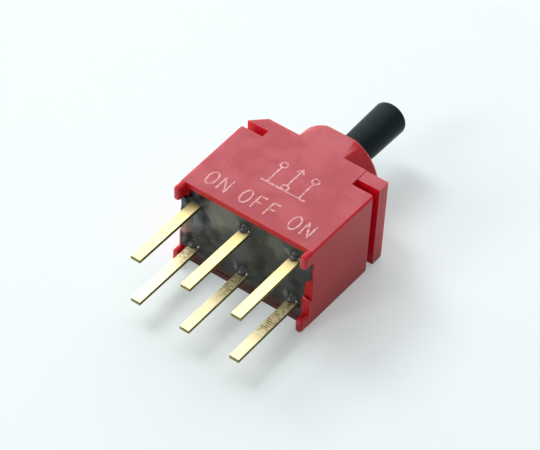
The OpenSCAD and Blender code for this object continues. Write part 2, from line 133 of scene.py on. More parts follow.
# %% Where the moulding is rubbed
# each pair says where a mask starts and where it is full: first a place, then a way to face
LONG_SIDE, END_WALL, LONG_EDGE = (3.45 * MM, 3.6 * MM), (6.0 * MM, 6.2 * MM), (6.0 * MM, 6.15 * MM)
SQUARE, NEARLY_SQUARE, SLANTED, AWAY = (0.9, 0.995), (0.5, 0.95), (0.15, 0.4), (0.9, 0.5)


def on_both_sides(tree, value, start, full):
    """0 where a value is nearer to zero than start, 1 beyond full, and smooth between."""
    distance = add(tree, "Math", {0: value}, operation="ABSOLUTE")
    return add(tree, "MapRange", {"Value": distance, "From Min": start, "From Max": full},
               interpolation_type="SMOOTHSTEP")


def rubbed_places(tree, facing, apart):
    """The long sides, and the end walls a little, but not the rim. Then the standoffs' tips."""
    long_side = add(tree, "Math", {0: on_both_sides(tree, facing["Z"], *SQUARE),
                                   1: on_both_sides(tree, apart["Z"], *LONG_SIDE)}, operation="MULTIPLY")
    end_wall = add(tree, "Math", {0: on_both_sides(tree, facing["X"], *SQUARE),
                                  1: on_both_sides(tree, apart["X"], *END_WALL)}, operation="MULTIPLY")
    faint = add(tree, "Math", {0: end_wall, 1: 0.06}, operation="MULTIPLY")
    walls = add(tree, "Math", {0: long_side, 1: faint}, operation="MAXIMUM")
    past_rim = add(tree, "MapRange", {"Value": apart["Y"], "From Min": 0.95 * MM, "From Max": 1.1 * MM},
                   interpolation_type="SMOOTHSTEP")
    walls = add(tree, "Math", {0: walls, 1: past_rim}, operation="MULTIPLY")
    at_board = add(tree, "MapRange", {"Value": apart["Y"], "From Min": 0.35 * MM, "From Max": 0.1 * MM},
                   interpolation_type="SMOOTHSTEP")
    tips = add(tree, "Math", {0: on_both_sides(tree, facing["Y"], *NEARLY_SQUARE), 1: at_board},
               operation="MULTIPLY")
    tips = add(tree, "Math", {0: tips, 1: 0.8}, operation="MULTIPLY")
    return add(tree, "Math", {0: walls, 1: tips}, operation="MAXIMUM")


def scratches(tree, place):
    """Hair scratches along the switch: two noises, each drawn out twelve times along Y."""
    lines = []
    for turn, shift in ((0.5, 0.0), (-0.9, 7.0)):
        drawn = add(tree, "Mapping", {"Vector": place, "Location": (shift, shift, 0),
                                      "Rotation": (0, 0, turn), "Scale": (1, 0.08, 1)})
        fine = add(tree, "TexNoise", {"Vector": drawn, "Scale": per(0.14), "Detail": 2.0})
        lines.append(add(tree, "MapRange", {"Value": fine, "From Min": 0.66, "From Max": 0.76},
                         interpolation_type="SMOOTHSTEP"))
    return add(tree, "Math", {0: lines[0], 1: lines[1]}, operation="MAXIMUM")


print("the long sides are rubbed from", round(LONG_SIDE[0] / MM, 2), "mm out")

# %% [markdown]
# Two more places differ. The groove and the four long edges get a brighter red painted into the colour:
# painted glow for light that soaks through the nylon round a corner, and a painted highlight along the
# edges.
# And a dark brown strip lies along the rim of the lower long side.

# %% Where the moulding has a painted glow or a brown strip
def painted_glow_places(tree, facing, apart):
    """The faces inside the groove, and the four rounded long edges, where a brighter red is painted as
    glow and highlight.
    """
    above = add(tree, "MapRange", {"Value": apart["Y"], "From Min": 8.7 * MM, "From Max": 8.76 * MM},
                interpolation_type="SMOOTHSTEP")
    below = add(tree, "MapRange", {"Value": apart["Y"], "From Min": 9.64 * MM, "From Max": 9.58 * MM},
                interpolation_type="SMOOTHSTEP")
    groove = add(tree, "Math", {0: above, 1: below}, operation="MULTIPLY")
    groove = add(tree, "Math", {0: groove, 1: on_both_sides(tree, facing["Z"], *AWAY)},
                 operation="MULTIPLY")
    corner = add(tree, "Math", {0: on_both_sides(tree, facing["X"], *SLANTED),
                                1: on_both_sides(tree, facing["Z"], *SLANTED)}, operation="MULTIPLY")
    corner = add(tree, "Math", {0: corner, 1: on_both_sides(tree, apart["X"], *LONG_EDGE)},
                 operation="MULTIPLY")
    return add(tree, "Math", {0: groove, 1: corner}, operation="MAXIMUM")


def lower_rim_brown_strip(tree, apart):
    """A strip along the rim of the lower long side, between the standoffs."""
    at_rim = add(tree, "MapRange", {"Value": apart["Y"], "From Min": 1.3 * MM, "From Max": 1.12 * MM},
                 interpolation_type="SMOOTHSTEP")
    low_side = add(tree, "MapRange", {"Value": apart["Z"], "From Min": -3.2 * MM, "From Max": -3.5 * MM},
                   interpolation_type="SMOOTHSTEP")
    strip = add(tree, "Math", {0: at_rim, 1: low_side}, operation="MULTIPLY")
    return add(tree, "Math", {0: strip, 1: on_both_sides(tree, apart["X"], 5.9 * MM, 5.3 * MM)},
               operation="MULTIPLY")


print("the long edges glow from", round(LONG_EDGE[0] / MM, 2), "mm out")

# %% [markdown]
# Nylon is a little translucent: light goes a millimetre into it, which softens the shade in recesses.
# So the shader has subsurface scattering, and the masks mix its colours and its roughness.

# %% Material: moulded glass-filled nylon
def moulded_nylon():
    """Deep red and glossy where it is fresh, with painted glow in the groove and on the long edges, pale
    and dull where it is rubbed.
    """
    material, tree, place = blank("glass_filled_nylon_moulded_red")
    facing = add(tree, "SeparateXYZ", {"Vector": add(tree, "TexCoord").outputs["Normal"]}).outputs
    apart = add(tree, "SeparateXYZ", {"Vector": place}).outputs
    rubbed = rubbed_places(tree, facing, apart)
    # clouds of pigment and old stains, about 3 mm wide
    cloud = add(tree, "TexNoise", {"Vector": place, "Scale": per(3), "Detail": 5.0, "Roughness": 0.62})
    fresh = add(tree, "Mix", {0: cloud, 6: "#BA0C1C", 7: "#C81A28"}, data_type="RGBA")
    # the groove and the long edges are painted a brighter red: painted glow and painted highlight
    fresh = add(tree, "Mix", {0: painted_glow_places(tree, facing, apart), 6: fresh, 7: "#DC1832"},
                data_type="RGBA")
    stained = add(tree, "MapRange", {"Value": cloud, "From Min": 0.38, "From Max": 0.62},
                  interpolation_type="SMOOTHSTEP")
    dull = add(tree, "Mix", {0: stained, 6: "#B84A54", 7: "#C55B64"}, data_type="RGBA")
    skin = add(tree, "Mix", {0: rubbed, 6: fresh, 7: dull}, data_type="RGBA")
    # the scratches show only where the clouds and the rubbing are
    scratch = add(tree, "Math", {0: scratches(tree, place), 1: stained}, operation="MULTIPLY")
    scratch = add(tree, "Math", {0: scratch, 1: rubbed}, operation="MULTIPLY")
    pale = add(tree, "Math", {0: scratch, 1: 0.5}, operation="MULTIPLY")
    skin = add(tree, "Mix", {0: pale, 6: skin, 7: "#D27A80"}, data_type="RGBA")
    patchy = add(tree, "MapRange", {"Value": cloud, "From Min": 0.15, "From Max": 0.45},
                 interpolation_type="SMOOTHSTEP")
    # a dark brown strip is mixed in along the rim of the lower long side
    brown_band = add(tree, "Math", {0: lower_rim_brown_strip(tree, apart), 1: patchy}, operation="MULTIPLY")
    skin = add(tree, "Mix", {0: brown_band, 6: skin, 7: "#5A2D26"}, data_type="RGBA")
    rough = add(tree, "MapRange", {"Value": rubbed, "To Min": 0.3, "To Max": 0.44})
    # the glass fibres' grain is drawn 0.12 mm wide, coarser than they are, so that it shows
    grain = add(tree, "TexNoise", {"Vector": place, "Scale": per(0.12), "Detail": 3.0,
                                   "Roughness": 0.65})
    height = add(tree, "Math", {0: grain, 1: scratch}, operation="SUBTRACT")
    bump = add(tree, "Bump", {"Height": height, "Strength": 0.3, "Distance": 0.005 * MM})
    shader = add(tree, "BsdfPrincipled", {
        "Base Color": skin, "Roughness": rough, "Normal": bump, "IOR": 1.53, "Specular IOR Level": 0.2,
        "Subsurface Weight": 0.5, "Subsurface Radius": (1.0, 0.15, 0.12), "Subsurface Scale": 0.9 * MM})
    add(tree, "OutputMaterial", {"Surface": shader})
    return material


red_nylon = moulded_nylon()
print("made", red_nylon.name)

# %% [markdown]
# A CAD solid has edges of no width, which no moulding has, and only a rounded edge catches light.
# The housing could be modelled again, but then two shapes would have to agree.
# So a copy of the solid is merged into one skin, its flat faces are cleaned, and a bevel rounds it.
# The four long edges of the end walls are rounder than the rest, and so is the shoulder where each
# end wall steps down at the rim. They are selected by their place and bevelled first.

# %% Housing
def copy_of(node, name, body):
    """A copy of a CAD node's shape as a new piece, with its loose triangles merged."""
    piece = bpy.data.objects.new(name, frame["nodes"][node].data.copy())
    bpy.context.scene.collection.objects.link(piece)
    piece.data.materials.clear()
    only(piece)
    bpy.ops.mesh.customdata_custom_splitnormals_clear()
    bpy.ops.object.mode_set(mode="EDIT")
    bpy.ops.mesh.select_all(action="SELECT")
    bpy.ops.mesh.remove_doubles(threshold=0.002 * MM)
    bpy.ops.mesh.dissolve_limited(angle_limit=math.radians(1))
    bpy.ops.object.mode_set(mode="OBJECT")
    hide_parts(node)
    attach(piece, body)
    return piece


def round_edges(piece, width, segments, angle):
    """Round the edges that turn by more than an angle, and keep the flat faces flat."""
    only(piece)
    bevel = piece.modifiers.new("rounded edges", "BEVEL")
    bevel.width = width * MM
    bevel.segments = segments
    bevel.limit_method = "ANGLE"
    bevel.angle_limit = math.radians(angle)
    bpy.ops.object.modifier_apply(modifier=bevel.name)
    bpy.ops.object.shade_smooth_by_angle(angle=math.radians(angle))
    weighted = piece.modifiers.new("flat faces", "WEIGHTED_NORMAL")
    weighted.keep_sharp = True
    bpy.ops.object.modifier_apply(modifier=weighted.name)
    return piece


def round_chosen(piece, width, segments, chosen):
    """Round only the edges whose two ends pass a test on their place in millimetres."""
    only(piece)
    bpy.ops.object.mode_set(mode="EDIT")
    bpy.ops.mesh.select_mode(type="EDGE")
    bpy.ops.mesh.select_all(action="DESELECT")
    bpy.ops.object.mode_set(mode="OBJECT")
    for edge in piece.data.edges:
        edge.select = all(chosen(*(piece.data.vertices[i].co / MM)) for i in edge.vertices)
    bpy.ops.object.mode_set(mode="EDIT")
    bpy.ops.mesh.bevel(offset=width * MM, segments=segments, affect="EDGES")
    bpy.ops.object.mode_set(mode="OBJECT")
    return sum(edge.select for edge in piece.data.edges)


housing = copy_of("housing", "moulded_housing", "case")
side_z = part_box("housing")[1].z / MM
wall_x, rim_low, groove_low = 6.24, 0.99, 8.78
shoulder_z, shoulder_low, shoulder_high = -1.24, 0.95, 1.35


def on_long_edge(x, y, z):
    """Whether a point lies on an edge between an end wall and a long side."""
    return abs(z) > side_z - 0.01 and abs(x) > wall_x and rim_low < y < groove_low


def on_shoulder(x, y, z):
    """Whether a point lies where an end wall steps down at the rim."""
    return shoulder_low < y < shoulder_high and abs(z - shoulder_z) < 0.03


long_edges = round_chosen(housing, 0.2, 4, on_long_edge)
round_chosen(housing, 0.2, 4, on_shoulder)
round_edges(housing, 0.06, 3, 40)
housing.data.materials.append(red_nylon)
print("long edges rounded, in short lengths:", long_edges, "housing faces:", len(housing.data.polygons))

# %% [markdown]
# ## Engraved marks
# The long side carries thin engraved strokes, paler than the moulding and a little ragged.
# Here they say ON, OFF and ON for the three places of the lever, under a plain contact symbol.
# Each stroke is a curve with a round section, whose points and width wander as a hand tool does.
# The curve becomes a mesh, is pressed flat, and sits with most of its depth in the face.

# %% Strokes
FACE_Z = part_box("housing")[1].z / MM
# in millimetres: how wide a stroke is, how far apart its points lie and how far they wander
STROKE, STEP, WANDER = 0.19, 0.12, 0.012
# as shares of that width and height: the thinnest, the thickest, and how flat it is pressed
THIN, THICK, PRESSED = 0.6, 1.15, 0.12
LETTERS = {
    "O": [[(0.5 + 0.42 * math.cos(a * math.pi / 10), 0.5 + 0.5 * math.sin(a * math.pi / 10))
           for a in range(21)]],
    "N": [[(0.08, 0), (0.08, 1), (0.88, 0), (0.88, 1)]],
    "F": [[(0.1, 0), (0.1, 1), (0.8, 1)], [(0.1, 0.52), (0.66, 0.52)]],
}


def circle(x, y, r):
    """A closed stroke round a point, of 16 straight lengths."""
    return [(x + r * math.cos(a * math.pi / 8), y + r * math.sin(a * math.pi / 8)) for a in range(17)]


def word_strokes(word, left, foot=1.9, high=1.5, wide=0.92, gap=0.32):
    """The strokes of a word, with its left end and foot in millimetres."""
    strokes = []
    for i, letter in enumerate(word):
        for line in LETTERS[letter]:
            strokes.append([(left + i * (wide + gap) + x * wide, foot + y * high) for x, y in line])
    return strokes


def engraved(name, strokes, seed):
    """Rough flat ribbons along the strokes, on the upper long side."""
    chance = random.Random(seed)
    curve = bpy.data.curves.new(name, "CURVE")
    curve.dimensions = "3D"
    curve.bevel_depth = STROKE / 2 * MM
    curve.bevel_resolution = 2
    curve.use_fill_caps = True
    for stroke in strokes:
        points = [stroke[0]]
        for start, end in zip(stroke, stroke[1:]):
            steps = max(1, round(math.dist(start, end) / STEP))
            for i in range(1, steps + 1):
                share = i / steps
                points.append([a + (b - a) * share + chance.uniform(-WANDER, WANDER)
                               for a, b in zip(start, end)])
        spline = curve.splines.new("POLY")
        spline.points.add(len(points) - 1)
        for point, (x, y) in zip(spline.points, points):
            point.co = (x * MM, y * MM, 0, 1)
            point.radius = chance.uniform(THIN, THICK)
    piece = bpy.data.objects.new(name, curve)
    bpy.context.scene.collection.objects.link(piece)
    only(piece)
    bpy.ops.object.convert(target="MESH")
    bpy.ops.object.mode_set(mode="EDIT")
    bpy.ops.mesh.select_all(action="SELECT")
    bpy.ops.transform.resize(value=(1, 1, PRESSED), center_override=(0, 0, 0))
    bpy.ops.transform.translate(value=(0, 0, FACE_Z * MM))
    bpy.ops.object.mode_set(mode="OBJECT")
    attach(piece, "case")
    return piece


print("upper long side at mm:", round(FACE_Z, 2))

# %% [markdown]
# The symbol is a moving contact with an arrow between two fixed ones, over a common bar.

# %% Marks
words = word_strokes("ON", -4.9) + word_strokes("OFF", -1.7) + word_strokes("ON", 2.9)
marks = engraved("marks_positions", words, 4)
cx, cy = 0.5, 6.4
side, ring, top, bar = 1.5, 0.3, cy + 0.85, cy - 1.45
contacts = [
    circle(cx, cy - 1.15, ring), circle(cx - side, top, ring), circle(cx + side, top, ring),
    [(cx, cy - 0.85), (cx, cy + 1.25)],
    [(cx - 0.32, top), (cx, cy + 1.3), (cx + 0.32, top)],
    [(cx - side, cy + 0.55), (cx - side, bar)],
    [(cx + side, cy + 0.55), (cx + side, bar)],
    [(cx - 2.1, bar), (cx + 2.1, bar)],
]
symbol = engraved("marks_contact_symbol", contacts, 9)
print("symbol spans in mm:", [round(v / MM, 2) for v in symbol.dimensions])

# %% [markdown]
# Cutting the skin of a filled plastic tears pale fibres up, so the strokes are pink and uneven.
# A noise as wide as the cutter's skips mixes the two pinks and roughens the bottom of the cut.

# %% Material: engraved strokes
def torn_plastic():
    """Two pinks, mixed as unevenly as the cutter went."""
    material, tree, place = blank("glass_filled_nylon_engraved")
    # the cutter skips about every 0.2 mm
    skip = add(tree, "TexNoise", {"Vector": place, "Scale": per(0.2), "Detail": 3.0})
    share = add(tree, "MapRange", {"Value": skip, "From Min": 0.36, "From Max": 0.6})
    tint = add(tree, "Mix", {0: share, 6: "#D0777C", 7: "#F2B8B4"}, data_type="RGBA")
    bump = add(tree, "Bump", {"Height": skip, "Strength": 0.5, "Distance": 0.01 * MM})
    shader = add(tree, "BsdfPrincipled", {"Base Color": tint, "Roughness": 0.75, "Normal": bump,
                                          "IOR": 1.53})
    add(tree, "OutputMaterial", {"Surface": shader})
    return material


pale_strokes = torn_plastic()
for piece in (marks, symbol):
    piece.data.materials.append(pale_strokes)
print("made", pale_strokes.name)

# %% [markdown]
# ## Potting resin
# Dark epoxy was dropped into the open end, and it wetted everything that it touched.
# It climbs every terminal and hangs there as a glossy drop, runs over both end walls, and sank
# into a pit in one corner. Its skin could be sculpted, but it is easier to say how high the liquid
# stands at each place. So one function gives that level along Y, where less is farther out.

# %% Level of the resin
RIM_Y, DEEPEST, ROOM, WALL_END = 1.0, 1.85, (5.5, 3.59), 6.25
PINS = [(x, z) for x in (-4.7, 0.0, 4.7) for z in (-2.3, 2.3)]
PIN_HALF = 0.44, 0.17
# all but the upper left one, which stands in the pit, carry a hanging drop
HUNG = [pin for pin in PINS if pin != (-4.7, 2.3)]
# wrinkles where the skin set first: place, size and depth
WRINKLES = (((-3.9, 1.0), (0.35, 0.7), 0.17), ((-4.1, -0.4), (0.35, 0.55), 0.15),
            ((-3.6, -1.1), (0.7, 0.32), 0.1), ((-2.9, -0.3), (0.32, 0.6), 0.08),
            ((1.3, 0.6), (0.9, 1.6), 0.12), ((4.85, -0.45), (0.5, 0.8), 0.16))


def hump(x, z, at, size):
    """A round swell of height 1 at a point, which fades over its size."""
    return np.exp(-np.hypot((x - at[0]) / size[0], (z - at[1]) / size[1]) ** 2)


def step(value, low, high):
    """0 below low, 1 above high, and smooth between."""
    t = np.clip((value - low) / (high - low), 0, 1)
    return t * t * (3 - 2 * t)


def between(value, low, high, soft):
    """1 between two values and 0 outside them, with soft ends."""
    return step(value, low, low + soft) * step(-value, -high, soft - high)


def resin_level(x, z):
    """Height of the resin's skin along Y, in millimetres."""
    level = (1.16 + 0.06 * np.sin(1.2 * x + 0.6) * np.cos(1.0 * z - 0.4)
             + 0.02 * np.sin(2.1 * x - 1.5 * z))
    # it creeps up the long walls
    level -= 0.12 * np.exp(-(ROOM[1] - np.abs(z)) / 0.22)
    # the pit in the upper left corner
    level += 0.55 * hump(x, z, (-4.9, 3.15), (0.9, 0.5))
    # swells between the rows, and the wrinkles
    level -= 0.12 * hump(x, z, (-2.2, 2.3), (1.3, 0.9))
    level -= 0.12 * hump(x, z, (-0.5, -0.6), (0.9, 0.9))
    for at, size, depth in WRINKLES:
        level += depth * hump(x, z, at, size)
    # it covers the left wall from standoff to standoff, and the right wall down to a ragged edge
    ragged = 0.2 + 0.9 * (x - ROOM[0])
    cover = np.where(x < 0, between(z, -2.8, 2.8, 0.12), between(z, ragged, 2.8, 0.12))
    top = np.where(x < 0, RIM_Y - 0.16, RIM_Y + 0.17) + 0.04 * np.sin(4.1 * z + 1)
    run = step(np.abs(x), ROOM[0] - 0.45, ROOM[0] + 0.1)
    level += run * cover * (top - level)
    # elsewhere the skin ends against the inside of the end wall
    level += step(np.abs(x), ROOM[0] - 0.02, ROOM[0] + 0.06) * (1 - cover) * (RIM_Y + 0.5 - level)
    # where it runs over a wall it rolls down to the outer face
    level += cover * 0.45 * step(np.abs(x), WALL_END - 0.28, WALL_END + 0.02) ** 2
    # it climbs each terminal, steeply at its faces and gently around it
    for px, pz in PINS:
        gap = np.hypot(np.maximum(np.abs(x - px) - PIN_HALF[0], 0),
                       np.maximum(np.abs(z - pz) - PIN_HALF[1], 0))
        level -= 0.14 * np.exp(-((gap / 0.14) ** 2)) + 0.12 * np.exp(-((gap / 0.5) ** 2))
    # it hangs on the upper side of most of them as a drop, which is steeper below than above
    for px, pz in HUNG:
        rise = z - pz - 0.34
        bead = 1 - ((x - px + 0.16) / 0.4) ** 2 - (rise / np.where(rise < 0, 0.22, 0.35)) ** 2
        level -= 0.42 * np.clip(bead, 0, 1) ** 0.7
    return np.minimum(level, DEEPEST)


sample_x, sample_z = np.array([0.0, -4.9]), np.array([0.0, 3.15])
print("level in mm at the middle and in the pit:", resin_level(sample_x, sample_z).round(2))

# %% [markdown]
# A grid is laid over the opening and its points are moved to the level of the liquid, because only a
# dense skin can hold so many soft swells. Squares of 0.04 mm are enough for the smallest drop.
# Then the skin is extruded to give it depth.

# %% Resin
HALF_WIDTH, DEPTH, BACK_Y = 3.57, 0.8, 1.98
columns, rows = 300, 172
only(housing)
bpy.ops.object.select_all(action="DESELECT")
bpy.ops.mesh.primitive_grid_add(x_subdivisions=columns, y_subdivisions=rows, size=1,
                                rotation=(math.pi / 2, 0, 0))
resin = bpy.context.object
resin.name = "potting_resin"
resin.scale = (2 * WALL_END * MM, 2 * HALF_WIDTH * MM, 1)
bpy.ops.object.transform_apply(location=True, rotation=True, scale=True)
places = np.zeros(len(resin.data.vertices) * 3)
resin.data.vertices.foreach_get("co", places)
places = places.reshape(-1, 3)
places[:, 1] = resin_level(places[:, 0] / MM, places[:, 2] / MM) * MM
resin.data.vertices.foreach_set("co", places.ravel())
bpy.ops.object.mode_set(mode="EDIT")
bpy.ops.mesh.select_all(action="SELECT")
bpy.ops.mesh.extrude_region_move(TRANSFORM_OT_translate={"value": (0, DEPTH * MM, 0)})
bpy.ops.transform.resize(value=(1, 0, 1), center_override=(0, BACK_Y * MM, 0))
# the back lies flat against the base, so its squares become one face
bpy.ops.mesh.dissolve_faces()
bpy.ops.mesh.select_all(action="SELECT")
bpy.ops.mesh.normals_make_consistent(inside=False)
bpy.ops.object.mode_set(mode="OBJECT")
bpy.ops.object.shade_smooth_by_angle(angle=math.radians(60))
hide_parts("resin_seal")
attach(resin, "case")
print("resin faces:", len(resin.data.polygons), "lowest mm:", round(places[:, 1].min() / MM, 2))

# %% [markdown]
# Filled epoxy is nearly black-green in depth. Where the skin is thin its filler shows, olive-grey over
# the swells, and the red wall glows through the thinnest edge. A blue-grey patch at the left wall is
# painted reflection of the pale table, and a near-black patch in the upper left pit is painted shade.
# Each such patch is the distance from a point of the skin, made irregular by a slow noise.

# %% Material: epoxy potting
SKIN_Y, DROP_Y = 1.1, 0.85
# where each patch lies along X and Z, how far it reaches in mm, and its colour
# the blue-grey patch at (-5.1, 0.1) is painted reflection of the pale table, and the near-black one at
# (-4.9, 2.9) is painted shade in the pit
PATCHES = [
    ((-2.3, 2.5), 2.0, "#74756A"), ((-3.2, 1.3), 0.9, "#666860"), ((2.8, 2.4), 1.3, "#5C5F56"),
    ((-5.1, 0.1), 1.1, "#6A7478"), ((-0.4, -0.1), 1.4, "#545553"), ((3.8, -0.9), 0.9, "#3F4545"),
    ((-2.1, 1.05), 0.45, "#5A4F38"), ((0.8, 1.5), 0.9, "#14150F"), ((1.3, -0.4), 0.8, "#1B1F1C"),
    ((-3.9, 0.9), 0.6, "#101817"), ((-4.1, -0.5), 0.5, "#101817"), ((4.9, -0.5), 0.9, "#0C130F"),
    ((-4.9, 2.9), 1.5, "#080806"), ((-6.0, -0.4), 1.3, "#B58C8A"),
]
# beside each drop a pale patch is painted sheen, standing for the grey haze round the drop's glint, and
# the drop itself is black
PAINTED_SHEEN_BY_DROPS = [((px - 0.75, pz + 0.3), 0.5, "#74766D") for px, pz in HUNG]
DROPS = [((px - 0.1, pz + 0.32), 0.8, "#060909") for px, pz in HUNG]


def epoxy():
    """Dark and mottled, wet in its drops and duller elsewhere."""
    material, tree, place = blank("epoxy_potting_resin_filled")
    # the patches wander by up to half a millimetre
    slow = add(tree, "TexNoise", {"Vector": place, "Scale": per(1.1), "Detail": 3.0})
    drift = add(tree, "VectorMath", {0: slow.outputs["Color"], 1: (0.5, 0.5, 0.5)}, operation="SUBTRACT")
    pushed = add(tree, "VectorMath", {0: drift, 1: (1.6 * MM,) * 3, 2: place}, operation="MULTIPLY_ADD")
    cloudy = add(tree, "MapRange", {"Value": slow, "From Min": 0.35, "From Max": 0.65},
                 interpolation_type="SMOOTHSTEP")
    tint = add(tree, "Mix", {0: cloudy, 6: "#242826", 7: "#3D403C"}, data_type="RGBA")
    for (x, z), reach, tone in PATCHES + PAINTED_SHEEN_BY_DROPS + DROPS:
        away = add(tree, "VectorMath", {0: pushed, 1: (x * MM, SKIN_Y * MM, z * MM)},
                   operation="DISTANCE")
        share = add(tree, "MapRange", {"Value": away, "From Min": reach * MM,
                                       "From Max": 0.35 * reach * MM, "To Max": 0.9},
                    interpolation_type="SMOOTHSTEP")
        tint = add(tree, "Mix", {0: share, 6: tint, 7: tone}, data_type="RGBA")
    # over the rim of the lower long side it is thin, and the red below turns it brown
    low = add(tree, "SeparateXYZ", {"Vector": pushed}).outputs["Z"]
    thin = add(tree, "MapRange", {"Value": low, "From Min": -3.0 * MM, "From Max": -3.3 * MM},
               interpolation_type="SMOOTHSTEP")
    thin = add(tree, "Math", {0: thin, 1: 0.8}, operation="MULTIPLY")
    tint = add(tree, "Mix", {0: thin, 6: tint, 7: "#54302A"}, data_type="RGBA")
    # it stays wet-looking where it hangs as a drop, and is duller where the filler shows
    wet = 0.0
    for (x, z), _, _ in DROPS:
        away = add(tree, "VectorMath", {0: place, 1: (x * MM, DROP_Y * MM, z * MM)},
                   operation="DISTANCE")
        drop = add(tree, "MapRange", {"Value": away, "From Min": 0.5 * MM, "From Max": 0.42 * MM},
                   interpolation_type="SMOOTHSTEP")
        wet = add(tree, "Math", {0: wet, 1: drop}, operation="MAXIMUM")
    rough = add(tree, "MapRange", {"Value": wet, "To Min": 0.34, "To Max": 0.09})
    coat = add(tree, "Math", {0: wet, 1: 0.5}, operation="MULTIPLY")
    # filler settles in specks, drawn 0.15 mm wide so that they show
    speck = add(tree, "TexNoise", {"Vector": place, "Scale": per(0.15), "Detail": 2.0})
    bump = add(tree, "Bump", {"Height": speck, "Strength": 0.08, "Distance": 0.01 * MM})
    shader = add(tree, "BsdfPrincipled", {
        "Base Color": tint, "Roughness": rough, "Normal": bump, "IOR": 1.52, "Specular IOR Level": 0.3,
        "Coat Weight": coat, "Coat Roughness": 0.06, "Coat IOR": 1.5})
    add(tree, "OutputMaterial", {"Surface": shader})
    return material


resin.data.materials.append(epoxy())
print("patches in the resin:", len(PATCHES + PAINTED_SHEEN_BY_DROPS + DROPS), "of them drops:", len(DROPS))

# %% [markdown]
# ## Terminals
# The terminals are stamped from thin strip and flash-plated with gold over nickel, so they are pale.
# The strip was plated before it was stamped, so its cut sides and ends are bare, duller brass, and they
# are painted darker still as painted shade for the shaded table that they mirror.
# On the lower row the press left bars across the plating: a wave texture, broken up by two noises.

# %% Material: gold plating
def feed_marks(tree, place, apart):
    """Where the press's marks begin, and the fine bars and worn flecks among them."""
    # they lie near the resin, over more of a terminal the farther along the row it stands
    along = add(tree, "Math", {0: apart["X"], 1: 0.25}, operation="MULTIPLY")
    along = add(tree, "Math", {0: apart["Y"], 1: along}, operation="ADD")
    near = add(tree, "MapRange", {"Value": along, "From Min": -3.4 * MM, "From Max": -1.0 * MM},
               interpolation_type="SMOOTHSTEP")
    # a wave of this scale repeats every pi / 10 units, so its bars lie 0.2 mm apart
    bars = add(tree, "TexWave", {"Vector": place, "Scale": per(0.2) * math.pi / 10, "Distortion": 5.0,
                                 "Detail": 3.0, "Detail Scale": 0.7}, bands_direction="Y")
    gaps = add(tree, "TexNoise", {"Vector": place, "Scale": per(0.32), "Detail": 3.0})
    gaps = add(tree, "MapRange", {"Value": gaps, "From Min": 0.38, "From Max": 0.6},
               interpolation_type="SMOOTHSTEP")
    broken = add(tree, "Math", {0: bars.outputs["Fac"], 1: gaps}, operation="MULTIPLY")
    flecks = add(tree, "TexNoise", {"Vector": place, "Scale": per(0.1), "Detail": 2.0})
    flecks = add(tree, "MapRange", {"Value": flecks, "From Min": 0.52, "From Max": 0.72},
                 interpolation_type="SMOOTHSTEP")
    pattern = add(tree, "Math", {0: broken, 1: flecks}, operation="MAXIMUM")
    return near, add(tree, "Math", {0: pattern, 1: near}, operation="MULTIPLY")


def gold_plating(name, tones, barred):
    """Pale gold between two tones, with the press's feed marks if it is barred."""
    material, tree, place = blank(name)
    apart = add(tree, "SeparateXYZ", {"Vector": place}).outputs
    # rolling marks along the strip, drawn 0.1 mm apart so that they show
    rolled = add(tree, "Mapping", {"Vector": place, "Scale": (1, 0.04, 1)})
    height = add(tree, "TexNoise", {"Vector": rolled, "Scale": per(0.1), "Detail": 2.0})
    stain = add(tree, "TexNoise", {"Vector": place, "Scale": per(0.9), "Detail": 3.0})
    colour = add(tree, "Mix", {0: stain, 6: tones[0], 7: tones[1]}, data_type="RGBA")
    if barred:
        near, worn = feed_marks(tree, place, apart)
        dimmed = add(tree, "Math", {0: near, 1: 0.35}, operation="MULTIPLY")
        colour = add(tree, "Mix", {0: dimmed, 6: colour, 7: "#8A7A4C"}, data_type="RGBA")
        bared = add(tree, "MapRange", {"Value": worn, "From Min": 0.05, "From Max": 0.9},
                    interpolation_type="SMOOTHSTEP")
        colour = add(tree, "Mix", {0: bared, 6: colour, 7: "#75623A"}, data_type="RGBA")
        height = add(tree, "Math", {0: height, 1: worn}, operation="ADD")
    # the cut sides, and then the cut ends: bare brass, painted darker as painted shade for the shaded
    # table that they mirror
    facing = add(tree, "SeparateXYZ", {"Vector": add(tree, "TexCoord").outputs["Normal"]}).outputs
    for axis, bare_cut_and_shade in (("X", "#6A5E33"), ("Y", "#8E8658")):
        cut = on_both_sides(tree, facing[axis], 0.6, 0.9)
        colour = add(tree, "Mix", {0: cut, 6: colour, 7: bare_cut_and_shade}, data_type="RGBA")
    # a film of resin browns the plating just below the root
    brown_band = add(tree, "MapRange", {"Value": apart["Y"], "From Min": 0.2 * MM, "From Max": 1.0 * MM},
               interpolation_type="SMOOTHSTEP")
    brown_band = add(tree, "Math", {0: brown_band, 1: 0.4}, operation="MULTIPLY")
    colour = add(tree, "Mix", {0: brown_band, 6: colour, 7: "#8A6A2C"}, data_type="RGBA")
    bump = add(tree, "Bump", {"Height": height, "Strength": 0.3, "Distance": 0.01 * MM})
    shader = add(tree, "BsdfPrincipled", {"Base Color": colour, "Roughness": 0.58, "Metallic": 1.0,
                                          "Normal": bump})
    add(tree, "OutputMaterial", {"Surface": shader})
    return material


gold = gold_plating("gold_flash_plating_on_nickel", ("#DCC98A", "#EADFAF"), False)
barred_gold = gold_plating("gold_flash_plating_with_feed_marks", ("#E4D7A6", "#F2EACB"), True)
print("made", gold.name, "and", barred_gold.name)

# %% [markdown]
# Stamping leaves edges a few hundredths of a millimetre round, which is enough to glint.
# The terminals' solids have the right shape, so a copy of each is only merged and bevelled.

# %% Terminals
for row in ("upper", "lower"):
    for column in ("left", "common", "right"):
        pin = copy_of(f"terminal_{row}_{column}", f"pin_{row}_{column}", "case")
        round_edges(pin, 0.03, 2, 40)
        pin.data.materials.append(gold if row == "upper" else barred_gold)
print("terminals dressed: 6")

